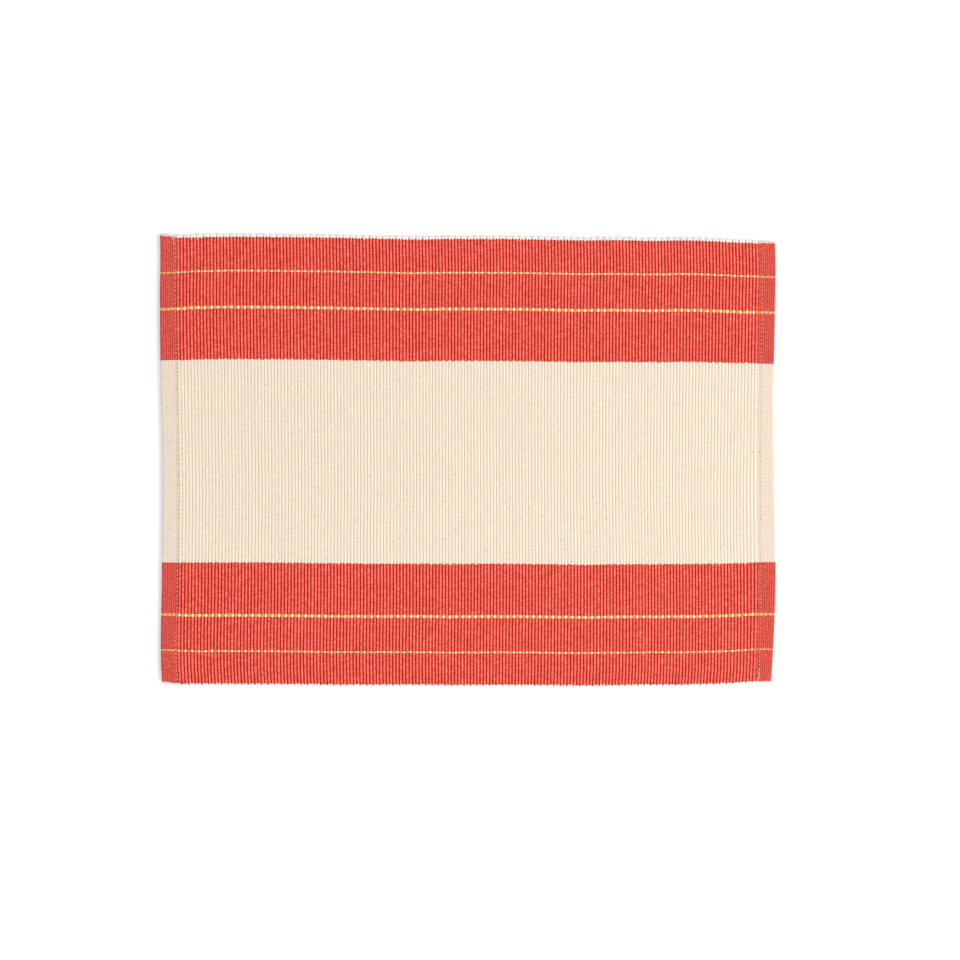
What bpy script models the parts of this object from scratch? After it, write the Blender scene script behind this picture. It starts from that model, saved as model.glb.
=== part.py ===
"""Ribbed cotton placemat: one flat woven cloth with a turned hem at each short end.

Metres, +Z up. X runs along the long side, Y from the front selvedge to the back selvedge. The
origin is under the middle of the mat, on the face that the mat rests on.
"""
from math import cos, pi, sin
from typing import NamedTuple

import bmesh
import bpy
import numpy as np

MM = 0.001

# Driving sizes of the cloth, in millimetres.
MAT_LENGTH = 450.0        # between the two hemmed ends
MAT_WIDTH = 330.0         # between the tips of the weft turns at the two selvedges
CLOTH_THICKNESS = 2.4     # from the rib crests above to the rib crests below
HEM_HEIGHT = 2.2          # from the top of a hem to its bottom
HEADER_WIDTH = 12.2       # plain-woven strip that shows at each end, before it is turned under
LAYER_GAP = 0.3           # between the turned layers of a hem
STEP_RUN = 0.3            # where the thick ribbed cloth steps down to its thin header
BACK_BAND_EDGE = 73.3     # where the cream middle meets the red band at the back
FRONT_BAND_EDGE = -75.2   # where the cream middle meets the red band at the front

# What follows from them: three header layers and two gaps fill a hem's height.
HEADER_LAYER = (HEM_HEIGHT - 2 * LAYER_GAP) / 3
HALF_LENGTH = MAT_LENGTH / 2
HALF_WIDTH = MAT_WIDTH / 2

# How finely the cloth is divided.
BODY_COLUMNS = 30         # strips of ribbed cloth between the two hems
FOLD_STEPS = 6            # flats round each fold of a hem
STATION_SPACING = 17.0    # between sections across the mat
CORNER_STATIONS = (165.0, 162.5, 159.0)

RED_COTTON = (0.72, 0.095, 0.065, 1.0)
CREAM_COTTON = (0.87, 0.78, 0.62, 1.0)
COTTON_ROUGHNESS = 0.9


class HemRow(NamedTuple):
    """One end's hem: its side of the mat, and how far its turned layers reach in from the end."""

    side: int
    turned_depth: float


class EndRow(NamedTuple):
    """How far the two hemmed ends stand outside the nominal mat at one place across it."""

    y: float
    left: float
    right: float


class SelvedgeRow(NamedTuple):
    """How far the two selvedges stand outside the nominal mat at one place along it."""

    x: float
    back: float
    front: float


class Rung(NamedTuple):
    """One place along the cloth's section: a point on its face and one on its underside."""

    face_x: float
    face_z: float
    under_x: float
    under_z: float


HEMS = (
    HemRow(side=-1, turned_depth=11.9),
    HemRow(side=1, turned_depth=11.2),
)

ENDS = (
    EndRow(y=-165.0, left=-1.2, right=-3.4),
    EndRow(y=-162.5, left=-0.5, right=-2.5),
    EndRow(y=-155.0, left=0.1, right=-2.0),
    EndRow(y=-132.0, left=0.3, right=-0.7),
    EndRow(y=-105.0, left=-0.4, right=0.4),
    EndRow(y=-70.0, left=-0.7, right=0.85),
    EndRow(y=-30.0, left=-1.1, right=0.1),
    EndRow(y=18.0, left=-0.8, right=-0.8),
    EndRow(y=55.0, left=0.2, right=-1.05),
    EndRow(y=95.0, left=0.8, right=-0.1),
    EndRow(y=130.0, left=0.9, right=0.4),
    EndRow(y=150.0, left=0.2, right=1.1),
    EndRow(y=162.5, left=0.7, right=0.2),
    EndRow(y=165.0, left=0.6, right=-1.9),
)

SELVEDGES = (
    SelvedgeRow(x=-225.0, back=1.6, front=-2.2),
    SelvedgeRow(x=-219.0, back=0.9, front=-1.2),
    SelvedgeRow(x=-212.0, back=0.4, front=-0.2),
    SelvedgeRow(x=-190.0, back=1.0, front=-0.5),
    SelvedgeRow(x=-167.0, back=1.3, front=-0.4),
    SelvedgeRow(x=-130.0, back=0.9, front=-0.2),
    SelvedgeRow(x=-100.0, back=0.6, front=0.3),
    SelvedgeRow(x=-61.0, back=-0.3, front=0.3),
    SelvedgeRow(x=-35.0, back=-0.9, front=0.1),
    SelvedgeRow(x=-16.0, back=-0.3, front=0.6),
    SelvedgeRow(x=24.0, back=-0.4, front=0.3),
    SelvedgeRow(x=64.0, back=-1.0, front=0.6),
    SelvedgeRow(x=92.0, back=-1.7, front=1.0),
    SelvedgeRow(x=106.0, back=-1.0, front=0.6),
    SelvedgeRow(x=138.0, back=-2.0, front=0.2),
    SelvedgeRow(x=162.0, back=-1.2, front=0.3),
    SelvedgeRow(x=191.0, back=-2.6, front=-0.5),
    SelvedgeRow(x=206.0, back=-3.4, front=-1.3),
    SelvedgeRow(x=217.0, back=-3.5, front=-2.4),
    SelvedgeRow(x=222.0, back=-3.9, front=-2.2),
    SelvedgeRow(x=225.0, back=-5.2, front=-2.7),
)


def clear_scene() -> None:
    """Remove every object of the open scene."""
    for existing in list(bpy.data.objects):
        bpy.data.objects.remove(existing, do_unlink=True)


def cotton(name: str, color: tuple[float, float, float, float]) -> bpy.types.Material:
    """Return a matt cotton material of one colour."""
    material = bpy.data.materials.new(name)
    material.use_nodes = True
    shader = material.node_tree.nodes["Principled BSDF"]
    shader.inputs["Base Color"].default_value = color
    shader.inputs["Roughness"].default_value = COTTON_ROUGHNESS
    shader.inputs["Metallic"].default_value = 0.0
    return material


def fold_entries(centre: float, radius: float, towards: int) -> list[tuple[float, ...]]:
    """Return the profile entries round one half-turn of the header.

    Args:
        centre: how far in from the mat's end the middle of the half-turn is.
        radius: its outer radius, which is also the height of its middle.
        towards: 1 if it bulges inwards and turns down, -1 if it bulges outwards and turns up.
    """
    inner_radius = radius - HEADER_LAYER
    entries = []
    for step in range(FOLD_STEPS + 1):
        angle = pi / 2 - pi * step / FOLD_STEPS
        inwards = towards * cos(angle)
        upwards = towards * sin(angle)
        entries.append((
            centre + radius * inwards,
            radius + radius * upwards,
            centre + inner_radius * inwards,
            radius + inner_radius * upwards,
        ))
    return entries


def hem_profile(turned_depth: float) -> list[tuple[float, ...]]:
    """Return a hem's section, from its tucked raw edge to the start of the ribbed cloth.

    Each entry is (face depth, face height, underside depth, underside height), with depths
    measured inwards from the mat's end. The header runs in along the top, turns down at the end,
    comes back along the bottom, and its raw edge is tucked between these two layers.

    Args:
        turned_depth: how far the turned layers reach in from the mat's end.
    """
    end_radius = HEM_HEIGHT / 2
    tuck_radius = HEADER_LAYER + LAYER_GAP / 2
    tuck_centre = turned_depth - tuck_radius
    raw_edge = 2 * end_radius
    mid_depth = tuck_centre / 2
    tuck_top = 2 * tuck_radius

    profile = [(raw_edge, tuck_top, raw_edge, tuck_top - HEADER_LAYER)]
    profile += fold_entries(tuck_centre, tuck_radius, towards=1)
    profile.append((mid_depth, 0.0, mid_depth, HEADER_LAYER))
    profile += fold_entries(end_radius, end_radius, towards=-1)
    for depth in (mid_depth, HEADER_WIDTH - STEP_RUN):
        profile.append((depth, HEM_HEIGHT, depth, HEM_HEIGHT - HEADER_LAYER))
    return profile


def hem_rungs(hem: HemRow) -> list[Rung]:
    """Return one hem's rungs in the order of its profile, on its own side of the mat."""
    return [
        Rung(hem.side * (HALF_LENGTH - face_depth), face_z,
             hem.side * (HALF_LENGTH - under_depth), under_z)
        for face_depth, face_z, under_depth, under_z in hem_profile(hem.turned_depth)
    ]


def cloth_section() -> list[Rung]:
    """Return the whole section along X, from the left hem's raw edge to the right hem's."""
    left_hem, right_hem = (hem_rungs(hem) for hem in HEMS)
    body_half = HALF_LENGTH - HEADER_WIDTH
    body = [
        Rung(float(x), CLOTH_THICKNESS, float(x), 0.0)
        for x in np.linspace(-body_half, body_half, BODY_COLUMNS + 1)
    ]
    return left_hem + body + right_hem[::-1]


def station_places() -> list[float]:
    """Return the nominal Y of each section, from the front selvedge to the back one."""
    inner_end = CORNER_STATIONS[-1]
    corners = [sign * y for sign in (-1, 1) for y in CORNER_STATIONS[:-1]]
    edges = [-inner_end, FRONT_BAND_EDGE, BACK_BAND_EDGE, inner_end]
    places = set(corners)
    for start, end in zip(edges, edges[1:]):
        count = round((end - start) / STATION_SPACING)
        places.update(float(y) for y in np.linspace(start, end, count + 1))
    return sorted(places)


def laid_out(x: float, y: float) -> tuple[float, float]:
    """Move a point of the nominal mat to where the real mat's uneven outline puts it.

    Args:
        x: nominal place along the mat.
        y: nominal place across the mat.

    Returns:
        The point's place, with each edge offset fading out towards the opposite edge.
    """
    end_y = [row.y for row in ENDS]
    left = float(np.interp(y, end_y, [row.left for row in ENDS]))
    right = float(np.interp(y, end_y, [row.right for row in ENDS]))
    selvedge_x = [row.x for row in SELVEDGES]
    back = float(np.interp(x, selvedge_x, [row.back for row in SELVEDGES]))
    front = float(np.interp(x, selvedge_x, [row.front for row in SELVEDGES]))
    along = (x + HALF_LENGTH) / MAT_LENGTH
    across = (y + HALF_WIDTH) / MAT_WIDTH
    return x - left * (1 - along) + right * along, y - front * (1 - across) + back * across


def add_faces(bm: bmesh.types.BMesh, face_rows: list, under_rows: list) -> None:
    """Close the cloth between its sections: both surfaces, both selvedges and both raw edges."""
    stations = len(face_rows)
    rungs = len(face_rows[0])
    for k in range(stations - 1):
        for j in range(rungs - 1):
            for rows, order in ((face_rows, 1), (under_rows, -1)):
                corners = [rows[k][j], rows[k][j + 1], rows[k + 1][j + 1], rows[k + 1][j]]
                bm.faces.new(corners[::order])
    for k, order in ((0, 1), (stations - 1, -1)):
        for j in range(rungs - 1):
            corners = [face_rows[k][j], under_rows[k][j], under_rows[k][j + 1], face_rows[k][j + 1]]
            bm.faces.new(corners[::order])
    for j, order in ((0, 1), (rungs - 1, -1)):
        for k in range(stations - 1):
            corners = [face_rows[k][j], face_rows[k + 1][j], under_rows[k + 1][j], under_rows[k][j]]
            bm.faces.new(corners[::order])


def centre_on_box(bm: bmesh.types.BMesh) -> None:
    """Shift the cloth so that the middle of its outline is over the origin."""
    points = np.array([vertex.co for vertex in bm.verts])
    middle = (points.min(axis=0) + points.max(axis=0)) / 2
    bmesh.ops.translate(bm, verts=bm.verts, vec=(-middle[0], -middle[1], 0.0))


def dye_bands(mesh: bpy.types.Mesh) -> None:
    """Give the cream middle its own material slot, and leave the rest of the cloth red."""
    for polygon in mesh.polygons:
        y = polygon.center.y / MM
        polygon.material_index = 1 if FRONT_BAND_EDGE < y < BACK_BAND_EDGE else 0


def make_placemat() -> bpy.types.Object:
    """Return the placemat: its section carried across the mat from selvedge to selvedge."""
    section = cloth_section()
    bm = bmesh.new()
    face_rows = []
    under_rows = []
    for station in station_places():
        face_row = []
        under_row = []
        for rung in section:
            face_x, face_y = laid_out(rung.face_x, station)
            under_x, under_y = laid_out(rung.under_x, station)
            face_row.append(bm.verts.new((face_x * MM, face_y * MM, rung.face_z * MM)))
            under_row.append(bm.verts.new((under_x * MM, under_y * MM, rung.under_z * MM)))
        face_rows.append(face_row)
        under_rows.append(under_row)
    add_faces(bm, face_rows, under_rows)
    centre_on_box(bm)
    bmesh.ops.recalc_face_normals(bm, faces=bm.faces)

    mesh = bpy.data.meshes.new("placemat")
    bm.to_mesh(mesh)
    bm.free()
    mesh.materials.append(cotton("red_cotton", RED_COTTON))
    mesh.materials.append(cotton("cream_cotton", CREAM_COTTON))
    dye_bands(mesh)
    placemat = bpy.data.objects.new("placemat", mesh)
    bpy.context.scene.collection.objects.link(placemat)
    return placemat


clear_scene()
make_placemat()
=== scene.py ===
"""Looks of a ribbed cotton placemat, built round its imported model.

The mat is one warp-faced rib cloth. Thick bundles of weft make its ribs, which run from the front
selvedge to the back one, and the warp that covers them makes the red and cream bands along its
length. The module builds, in metres: the cloth with its turned hems, the weft turns along both
selvedges, the white and yellow accent yarns, the hem stitching, and a plain studio.
"""
import logging
import math
from collections.abc import Mapping, Sequence
from dataclasses import dataclass, field
from enum import Enum
from typing import Any, NamedTuple, Union

import bpy
import numpy as np
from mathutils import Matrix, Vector
from mathutils.bvhtree import BVHTree


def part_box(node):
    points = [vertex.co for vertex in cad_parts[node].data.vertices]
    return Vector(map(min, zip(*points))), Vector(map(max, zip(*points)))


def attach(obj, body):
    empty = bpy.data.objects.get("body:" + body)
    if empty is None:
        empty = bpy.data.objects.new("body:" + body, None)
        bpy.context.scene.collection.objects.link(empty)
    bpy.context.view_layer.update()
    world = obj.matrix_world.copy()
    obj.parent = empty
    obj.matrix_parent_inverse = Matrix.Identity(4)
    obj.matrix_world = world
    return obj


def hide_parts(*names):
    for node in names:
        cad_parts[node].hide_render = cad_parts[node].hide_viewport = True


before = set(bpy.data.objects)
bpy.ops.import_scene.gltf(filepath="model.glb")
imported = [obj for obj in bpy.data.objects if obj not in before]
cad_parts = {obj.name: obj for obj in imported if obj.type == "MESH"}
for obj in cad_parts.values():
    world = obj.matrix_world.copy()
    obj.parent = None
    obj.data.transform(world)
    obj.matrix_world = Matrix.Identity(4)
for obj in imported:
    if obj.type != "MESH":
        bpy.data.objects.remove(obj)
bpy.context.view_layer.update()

CAD_NODE = "placemat"
BODY = "root"
MM = 0.001
SEED = 20

LOG = logging.getLogger("placemat")

Colour = tuple[float, float, float]
Operand = Union["Value", float, Colour]


# Shader graphs


class Value:
    """A socket of a shader graph, with Python's arithmetic on it."""

    def __init__(self, graph: "Graph", socket: bpy.types.NodeSocket) -> None:
        """Wrap a socket."""
        self.graph = graph
        self.socket = socket

    def _math(self, operation: str, *operands: Operand) -> "Value":
        """Add a Math node."""
        return self.graph.value("ShaderNodeMath", {"operation": operation}, dict(enumerate(operands)))

    def __add__(self, other: Operand) -> "Value":
        """Return self + other."""
        return self._math("ADD", self, other)

    def __radd__(self, other: Operand) -> "Value":
        """Return other + self."""
        return self._math("ADD", other, self)

    def __sub__(self, other: Operand) -> "Value":
        """Return self - other."""
        return self._math("SUBTRACT", self, other)

    def __rsub__(self, other: Operand) -> "Value":
        """Return other - self."""
        return self._math("SUBTRACT", other, self)

    def __mul__(self, other: Operand) -> "Value":
        """Return self * other."""
        return self._math("MULTIPLY", self, other)

    def __rmul__(self, other: Operand) -> "Value":
        """Return other * self."""
        return self._math("MULTIPLY", other, self)

    def __truediv__(self, other: Operand) -> "Value":
        """Return self / other."""
        return self._math("DIVIDE", self, other)

    def __pow__(self, other: Operand) -> "Value":
        """Return self ** other."""
        return self._math("POWER", self, other)

    def __lt__(self, other: Operand) -> "Value":
        """Return 1 where self is less than other, else 0."""
        return self._math("LESS_THAN", self, other)

    def __abs__(self) -> "Value":
        """Return the absolute value."""
        return self._math("ABSOLUTE", self)

    def floor(self) -> "Value":
        """Return the whole number at or below self."""
        return self._math("FLOOR", self)

    def fraction(self) -> "Value":
        """Return what is left of self above its floor."""
        return self._math("FRACT", self)

    def sine(self) -> "Value":
        """Return the sine of self, in radians."""
        return self._math("SINE", self)

    def cosine(self) -> "Value":
        """Return the cosine of self, in radians."""
        return self._math("COSINE", self)

    def most(self, other: Operand) -> "Value":
        """Return the greater of self and other."""
        return self._math("MAXIMUM", self, other)

    def least(self, other: Operand) -> "Value":
        """Return the smaller of self and other."""
        return self._math("MINIMUM", self, other)

    def ramp(self, low: float, high: float) -> "Value":
        """Return a smooth step of self."""
        settings = {"interpolation_type": "SMOOTHSTEP", "clamp": True}
        return self.graph.value("ShaderNodeMapRange", settings, {0: self, 1: low, 2: high})


@dataclass(frozen=True)
class Specks:
    """Sparse round specks, in the units of the place that they are read at."""

    spacing: float
    radius: float
    share: float
    strength: float


class Graph:
    """The node graph of one material."""

    def __init__(self, name: str) -> None:
        """Make an empty material.

        Args:
            name: the material's name.
        """
        self.material = bpy.data.materials.new(name)
        self.material.use_nodes = True
        self.tree = self.material.node_tree
        self.tree.nodes.clear()

    def add(
        self,
        kind: str,
        settings: Mapping[str, Any] | None = None,
        sockets: Mapping[int | str, Operand] | None = None,
    ) -> bpy.types.Node:
        """Add a node: its settings come first, because they can change its sockets.

        Args:
            kind: the node's type.
            settings: its properties.
            sockets: input name or number to a value or a link.

        Returns:
            The node.
        """
        node = self.tree.nodes.new(kind)
        for name, setting in (settings or {}).items():
            setattr(node, name, setting)
        for key, operand in (sockets or {}).items():
            if isinstance(operand, Value):
                self.tree.links.new(operand.socket, node.inputs[key])
            elif isinstance(operand, tuple) and node.inputs[key].type == "RGBA":
                node.inputs[key].default_value = (*operand, 1.0)
            else:
                node.inputs[key].default_value = operand
        return node

    def value(
        self,
        kind: str,
        settings: Mapping[str, Any] | None = None,
        sockets: Mapping[int | str, Operand] | None = None,
        output: int | str = 0,
    ) -> Value:
        """Add a node and return one of its outputs."""
        return Value(self, self.add(kind, settings, sockets).outputs[output])

    def attribute(self, name: str) -> tuple[Value, Value, Value]:
        """Return the three numbers of a vector that the mesh carries.

        Args:
            name: the attribute's name.

        Returns:
            Its X, Y and Z.
        """
        vector = self.value("ShaderNodeAttribute", {"attribute_name": name}, output="Vector")
        parts = self.add("ShaderNodeSeparateXYZ", sockets={0: vector})
        return tuple(Value(self, part) for part in parts.outputs)

    def vector(self, x: Operand, y: Operand, z: Operand = 0.0) -> Value:
        """Join three numbers into a vector."""
        return self.value("ShaderNodeCombineXYZ", sockets={0: x, 1: y, 2: z})

    def mix(self, factor: Operand, first: Operand, second: Operand) -> Value:
        """Mix two colours."""
        sockets = {0: factor, 6: first, 7: second}
        return self.value("ShaderNodeMix", {"data_type": "RGBA"}, sockets, output=2)

    def scaled(self, colour: Operand, factor: Operand) -> Value:
        """Multiply a colour by a number."""
        return self.value("ShaderNodeVectorMath", {"operation": "SCALE"}, {0: colour, "Scale": factor})

    def tinted(self, colour: Operand, tint: Operand) -> Value:
        """Multiply two colours."""
        return self.value("ShaderNodeVectorMath", {"operation": "MULTIPLY"}, {0: colour, 1: tint})

    def random(self, place: Operand, dimensions: str = "2D") -> Value:
        """Return a random number from 0 to 1 for each different place."""
        return self.value("ShaderNodeTexWhiteNoise", {"noise_dimensions": dimensions}, {"Vector": place})

    def noise(self, place: Operand, scale: float, detail: float = 2.0) -> Value:
        """Return smooth noise round 0.5."""
        sockets = {"Vector": place, "Scale": scale, "Detail": detail}
        return self.value("ShaderNodeTexNoise", {"noise_dimensions": "3D"}, sockets)

    def specks(self, place: Operand, specks: Specks) -> Value:
        """Return a mask of sparse round specks, before their strength.

        Args:
            place: where it is read.
            specks: how far apart, how large and how many they are.

        Returns:
            A mask, up to 1 in the middle of a speck.
        """
        spacing, radius = specks.spacing, specks.radius
        sockets = {"Vector": place, "Scale": 1.0 / spacing}
        cell = self.add("ShaderNodeTexVoronoi", {"voronoi_dimensions": "2D"}, sockets)
        parts = self.add("ShaderNodeSeparateXYZ", sockets={0: Value(self, cell.outputs["Color"])})
        near = 1.0 - Value(self, cell.outputs["Distance"]).ramp(0.4 * radius / spacing, radius / spacing)
        chosen = Value(self, parts.outputs[0]) < specks.share
        return near * chosen * (Value(self, parts.outputs[1]) * 0.7 + 0.3)

    def finish(
        self, colour: Operand, roughness: Operand, height: Value, sheen: float
    ) -> bpy.types.Material:
        """Close the graph with a Principled shader.

        Args:
            colour: base colour.
            roughness: roughness.
            height: the surface's fine relief, in millimetres.
            sheen: how much the fuzz on the yarn shines, the same all over.

        Returns:
            The material.
        """
        bump = self.value("ShaderNodeBump", sockets={"Height": height, "Strength": 1.0, "Distance": MM})
        sockets = {
            "Base Color": colour,
            "Roughness": roughness,
            "Normal": bump,
            "Specular IOR Level": 0.05,
            "Sheen Weight": sheen,
            "Sheen Roughness": 0.5,
        }
        shader = self.value("ShaderNodeBsdfPrincipled", sockets=sockets)
        self.add("ShaderNodeOutputMaterial", sockets={"Surface": shader})
        return self.material


# The lay of the cloth


class Side(Enum):
    """The four sides of the mat, as the axis that the side runs along and its outward sign."""

    BACK = (0, 1)
    FRONT = (0, -1)
    LEFT = (1, -1)
    RIGHT = (1, 1)


class CrowdRow(NamedTuple):
    """Millimetres that the ribs stand right of an even spacing, at one share of the way along."""

    share: float
    shift: float


class WanderRow(NamedTuple):
    """Millimetres that the ribs stray right of straight, at one place across the mat."""

    y: float
    left_end: float
    left_third: float
    middle: float
    right_third: float
    right_end: float


class SeamRow(NamedTuple):
    """Millimetres in from each end that the hem stitches run, at one place across the mat."""

    y: float
    left: float
    right: float


CROWDING = (
    CrowdRow(0.0, 0.1),
    CrowdRow(0.2, 1.7),
    CrowdRow(0.42, 2.9),
    CrowdRow(0.62, 1.6),
    CrowdRow(0.78, 1.2),
    CrowdRow(0.91, -0.3),
    CrowdRow(1.0, 0.0),
)

WANDER_PLACES = (-185.0, -75.0, 30.0, 120.0, 205.0)
WANDER = (
    WanderRow(-155.0, 0.0, 0.3, 0.6, 1.4, 0.8),
    WanderRow(-105.0, 0.0, -0.1, -0.5, -0.3, -1.1),
    WanderRow(-60.0, -0.1, -0.8, -1.0, -1.1, -2.2),
    WanderRow(-20.0, 0.0, -0.3, -0.9, -1.2, -1.6),
    WanderRow(20.0, -0.3, 0.0, -0.6, -0.4, -0.2),
    WanderRow(60.0, 0.5, 0.4, 0.0, 0.1, 0.4),
    WanderRow(100.0, 0.1, 0.4, -0.1, -0.2, 0.2),
    WanderRow(158.0, -0.2, -0.2, -0.2, -0.2, 0.2),
)

SEAMS = (
    SeamRow(-165.0, 11.1, 9.2),
    SeamRow(-145.0, 10.9, 9.9),
    SeamRow(-90.0, 11.6, 10.8),
    SeamRow(-60.0, 11.7, 10.4),
    SeamRow(-30.0, 11.4, 9.6),
    SeamRow(15.0, 11.2, 9.8),
    SeamRow(58.0, 11.6, 9.0),
    SeamRow(77.0, 11.6, 10.2),
    SeamRow(105.0, 11.5, 9.5),
    SeamRow(145.0, 11.0, 9.8),
    SeamRow(165.0, 10.6, 9.1),
)


@dataclass
class Outline:
    """The mat's four uneven edges, found by feeling for the CAD model's sides."""

    node: str = CAD_NODE
    feel_height: float = 1.1 * MM
    away: float = 0.5
    step: float = 1.0 * MM
    clearance: float = 0.2 * MM
    softening: float = 5.0 * MM
    squareness: float = 0.8
    outset: dict[Side, float] = field(default_factory=lambda: {Side.RIGHT: 0.7 * MM})
    edges: dict[Side, tuple[np.ndarray, np.ndarray]] = field(init=False)

    def __post_init__(self) -> None:
        """Keep each side as a soft curve."""
        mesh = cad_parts[self.node].data
        faces = [tuple(polygon.vertices) for polygon in mesh.polygons]
        tree = BVHTree.FromPolygons([vertex.co for vertex in mesh.vertices], faces)
        self.edges = {side: self._curve(tree, side) for side in Side}

    def _curve(self, tree: BVHTree, side: Side) -> tuple[np.ndarray, np.ndarray]:
        """Feel along one side and soften its line.

        Args:
            tree: the CAD model's surface.
            side: which side is wanted.

        Returns:
            Places along the side, and where its edge is at each.
        """
        axis, sign = side.value
        low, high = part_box(self.node)
        places = np.arange(low[axis] + self.clearance, high[axis] - self.clearance, self.step)
        found, line = [], []
        for place in places.tolist():
            start = Vector((place, sign * self.away, self.feel_height))
            towards = Vector((0.0, -sign, 0.0))
            if axis == 1:
                start.xy = start.yx
                towards.xy = towards.yx
            hit, facing = tree.ray_cast(start, towards)[:2]
            if hit is not None and abs(facing[1 - axis]) > self.squareness:
                found.append(place)
                line.append(hit[1 - axis])
        even = np.interp(places, found, line)
        reach = round(self.softening / self.step)
        weights = np.hanning(2 * reach + 3)[1:-1]
        padded = np.pad(even, reach, mode="reflect", reflect_type="odd")
        line = np.convolve(padded, weights / weights.sum(), mode="valid")
        return places, line + sign * self.outset.get(side, 0.0)

    def at(self, side: Side, place: np.ndarray) -> np.ndarray:
        """Return where a side's edge is."""
        places, line = self.edges[side]
        return np.interp(place, places, line)


@dataclass
class Lay:
    """Where each place of the woven cloth lies on the table.

    The cloth's own coordinates are a nominal distance along it, and a share of the way across it
    from the front selvedge to the back one.
    """

    outline: Outline
    back_turn: float = 1.45 * MM
    front_turn: float = 0.95 * MM
    hem_turn: float = 0.4 * MM
    turn_taper: float = 3.0 * MM
    rib_zone: tuple[float, float] = (-213.65 * MM, 213.65 * MM)
    flare_reach: float = 9.0 * MM
    draw_in: tuple[float, float] = (0.0075, 0.002)
    sag: tuple[float, float] = (0.3 * MM, 0.15 * MM)
    draw_in_run: float = 22.0 * MM
    draw_in_start: float = 13.2 * MM
    half_length: float = field(init=False)
    half_width: float = field(init=False)

    def __post_init__(self) -> None:
        """Take the mat's nominal size from the CAD box."""
        low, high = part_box(self.outline.node)
        self.half_length = (high.x - low.x) / 2
        self.half_width = (high.y - low.y) / 2

    def turn_reach(self, along: np.ndarray, side: Side) -> np.ndarray:
        """Return how far the weft turns stand out of the cloth at a selvedge.

        Args:
            along: nominal places along the mat.
            side: BACK or FRONT.

        Returns:
            The reach at each place.
        """
        full = self.back_turn if side is Side.BACK else self.front_turn
        start, end = self.rib_zone
        inside = np.clip(np.minimum(along - start, end - along) / self.turn_taper + 1.0, 0.0, 1.0)
        return self.hem_turn + (full - self.hem_turn) * inside

    def selvedge(self, along: np.ndarray, side: Side) -> np.ndarray:
        """Return where the cloth's own edge is, inside its weft turns."""
        return self.outline.at(side, along) - side.value[1] * self.turn_reach(along, side)

    def wander(self, x: np.ndarray, y: np.ndarray) -> np.ndarray:
        """Return how far the ribs stray along X.

        Args:
            x: places along the mat.
            y: places across it.

        Returns:
            The shift at each place.
        """
        rows = [row.y * MM for row in WANDER]
        columns = [np.interp(y, rows, column) * MM for column in list(zip(*WANDER))[1:]]
        places = (-self.half_length, *(place * MM for place in WANDER_PLACES), self.half_length)
        total = np.zeros_like(x)
        for k, shift in enumerate(columns, start=1):
            total += np.interp(x, places, np.eye(len(places))[k]) * shift
        return total

    def place(self, along: np.ndarray, share: np.ndarray) -> tuple[np.ndarray, np.ndarray]:
        """Lay the cloth out.

        The headers are drawn in a little from the ribbed cloth, but not at their own edges.

        Args:
            along: nominal places along the mat.
            share: shares of the way from the front edge to the back edge.

        Returns:
            The X and Y of each place.
        """
        start, end = self.rib_zone
        inner = np.clip(along, start, end)
        front = self.selvedge(inner, Side.FRONT)
        back = self.selvedge(inner, Side.BACK)
        straight = front + (back - front) * share
        y = self._drawn(along, straight)
        for side, gone in ((Side.BACK, 1.0 - share), (Side.FRONT, share)):
            edge = back if side is Side.BACK else front
            missing = self.selvedge(along, side) - self._drawn(along, edge)
            y = y + missing * np.exp(-gone * 2 * self.half_width / self.flare_reach)
        left = self.outline.at(Side.LEFT, y) + self.half_length
        right = self.outline.at(Side.RIGHT, y) - self.half_length
        part = (along + self.half_length) / (2 * self.half_length)
        x = along + left * (1.0 - part) + right * part
        return x + self.wander(x, y), y

    def _drawn(self, along: np.ndarray, y: np.ndarray) -> np.ndarray:
        """Draw places towards the middle, near the two ends.

        Args:
            along: nominal places along the mat.
            y: their Y before.

        Returns:
            Their Y after.
        """
        start, end = self.rib_zone
        left = np.clip((start + self.draw_in_start - along) / self.draw_in_run, 0.0, 1.0)
        right = np.clip((along - end + self.draw_in_start) / self.draw_in_run, 0.0, 1.0)
        drawn = y * (1.0 - self.draw_in[0] * left - self.draw_in[1] * right)
        return drawn - self.sag[0] * left - self.sag[1] * right


# Meshes


def make_piece(
    name: str,
    vertices: np.ndarray,
    faces: Sequence[Sequence[int]],
    material: bpy.types.Material,
    vectors: Mapping[str, np.ndarray],
) -> bpy.types.Object:
    """Make a smooth mesh object.

    Args:
        name: the piece's name.
        vertices: its points, in metres.
        faces: its faces, as vertex numbers.
        material: its finish.
        vectors: attribute name to a vector for each vertex.

    Returns:
        The object.
    """
    mesh = bpy.data.meshes.new(name)
    mesh.from_pydata(vertices.tolist(), [], [tuple(face) for face in faces])
    mesh.shade_smooth()
    for attribute, values in vectors.items():
        layer = mesh.attributes.new(attribute, "FLOAT_VECTOR", "POINT")
        layer.data.foreach_set("vector", np.asarray(values, dtype=np.float32).ravel())
    mesh.materials.append(material)
    piece = bpy.data.objects.new(name, mesh)
    bpy.context.scene.collection.objects.link(piece)
    return piece


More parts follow.
